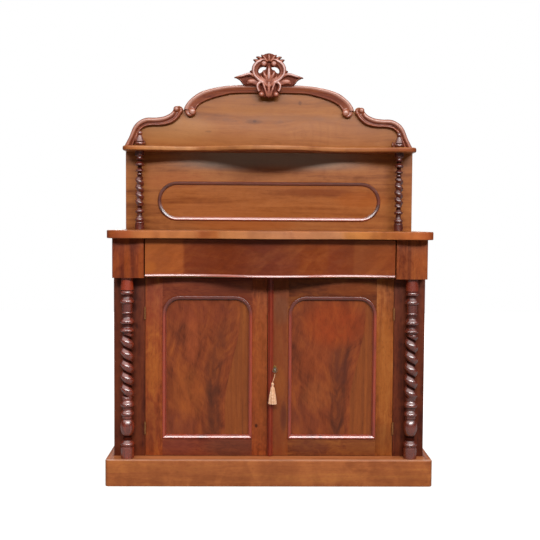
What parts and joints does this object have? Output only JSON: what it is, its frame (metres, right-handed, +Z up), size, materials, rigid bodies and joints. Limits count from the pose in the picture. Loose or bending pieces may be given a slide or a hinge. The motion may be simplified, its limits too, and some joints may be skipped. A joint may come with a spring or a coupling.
{
  "type": "chiffonier",
  "caption": "Victorian chiffonier: double cupboard under a serpentine drawer and top, twist columns, raised back with gallery shelf and carved scroll pediment.",
  "frame": {"origin": "middle of the bounding box on the floor", "axes": "+X to the right seen from the front, +Y from the front to the back, +Z up"},
  "size_m": [1.157, 0.413, 1.571],
  "materials": {
    "mahogany": "french polished mahogany",
    "dark_mahogany": "glossy dark red polished mahogany",
    "flame_mahogany": "flame mahogany veneer, french polished",
    "pine": "unpolished pine",
    "brass": "dull old brass",
    "steel": "old dark steel",
    "tassel_silk": "salmon silk fringe"
  },
  "bodies": {
    "carcase": {"arch_rail": "dark_mahogany", "back_boards": "pine", "block_left": "mahogany", "block_right": "mahogany", "bottom_board": "pine", "column_left": "dark_mahogany", "column_right": "dark_mahogany", "crest": "dark_mahogany", "cupboard_shelf": "pine", "drawer_rail": "mahogany", "drawer_runners": "pine", "finial_left": "dark_mahogany", "finial_right": "dark_mahogany", "fixed_leaves": "brass", "gallery_shelf": "mahogany", "glue_blocks": "pine", "hinge_pins": "brass", "panel_moulding": "dark_mahogany", "pediment_panel": "mahogany", "plinth_back": "pine", "plinth_front": "mahogany", "plinth_sides": "mahogany", "scroll_left": "dark_mahogany", "scroll_right": "dark_mahogany", "shelf_bearers": "pine", "side_left": "mahogany", "side_right": "mahogany", "small_column_left": "dark_mahogany", "small_column_right": "dark_mahogany", "stile_left": "mahogany", "stile_right": "mahogany", "top_board": "mahogany", "upper_back": "mahogany"},
    "left_door": {"left_door_stiles": "mahogany", "left_door_rails": "mahogany", "left_panel": "flame_mahogany", "left_moulding": "dark_mahogany", "left_hinge_leaves": "brass", "left_bolt_plates": "brass"},
    "right_door": {"right_door_stiles": "mahogany", "right_door_rails": "mahogany", "right_panel": "flame_mahogany", "right_moulding": "dark_mahogany", "right_hinge_leaves": "brass", "astragal": "dark_mahogany", "lock_case": "steel", "escutcheon": "brass"},
    "drawer": {"drawer_front": "flame_mahogany", "drawer_lip": "mahogany", "drawer_sides": "pine", "drawer_bottom": "pine", "drawer_back": "pine"},
    "key": {"key": "steel"},
    "lock_bolt": {"lock_bolt": "steel"},
    "tassel": {"tassel_cord": "tassel_silk", "tassel_head": "tassel_silk", "tassel_skirt": "tassel_silk"},
    "upper_bolt": {"upper_bolt": "brass"},
    "lower_bolt": {"lower_bolt": "brass"}
  },
  "joints": [
    {"name": "left_door_swing", "type": "hinge", "parent": "carcase", "child": "left_door", "pos_m": [-0.4442, -0.0845, 0.4], "axis": [0, 0, -1], "range_deg": [0, 110]},
    {"name": "right_door_swing", "type": "hinge", "parent": "carcase", "child": "right_door", "pos_m": [0.4442, -0.0845, 0.4], "axis": [0, 0, 1], "range_deg": [0, 110]},
    {"name": "drawer_slide", "type": "slide", "parent": "carcase", "child": "drawer", "axis": [0, -1, 0], "range_m": [0, 0.22]},
    {"name": "key_turn", "type": "hinge", "parent": "right_door", "child": "key", "pos_m": [0.0195, -0.1105, 0.409], "axis": [0, 1, 0], "range_deg": [0, 90]},
    {"name": "bolt_throw", "type": "slide", "parent": "right_door", "child": "lock_bolt", "axis": [-1, 0, 0], "range_m": [0, 0.008]},
    {"name": "tassel_hang", "type": "hinge", "parent": "key", "child": "tassel", "pos_m": [0.0195, -0.1105, 0.4], "axis": [0, 1, 0], "range_deg": [-90, 0]},
    {"name": "upper_bolt_slide", "type": "slide", "parent": "left_door", "child": "upper_bolt", "axis": [0, 0, 1], "range_m": [0, 0.01]},
    {"name": "lower_bolt_slide", "type": "slide", "parent": "left_door", "child": "lower_bolt", "axis": [0, 0, -1], "range_m": [0, 0.01]}
  ],
  "couplings": [
    {"joint": "bolt_throw", "follows": "key_turn", "m_per_rad": 0.005},
    {"joint": "tassel_hang", "follows": "key_turn", "ratio": -1}
  ]
}
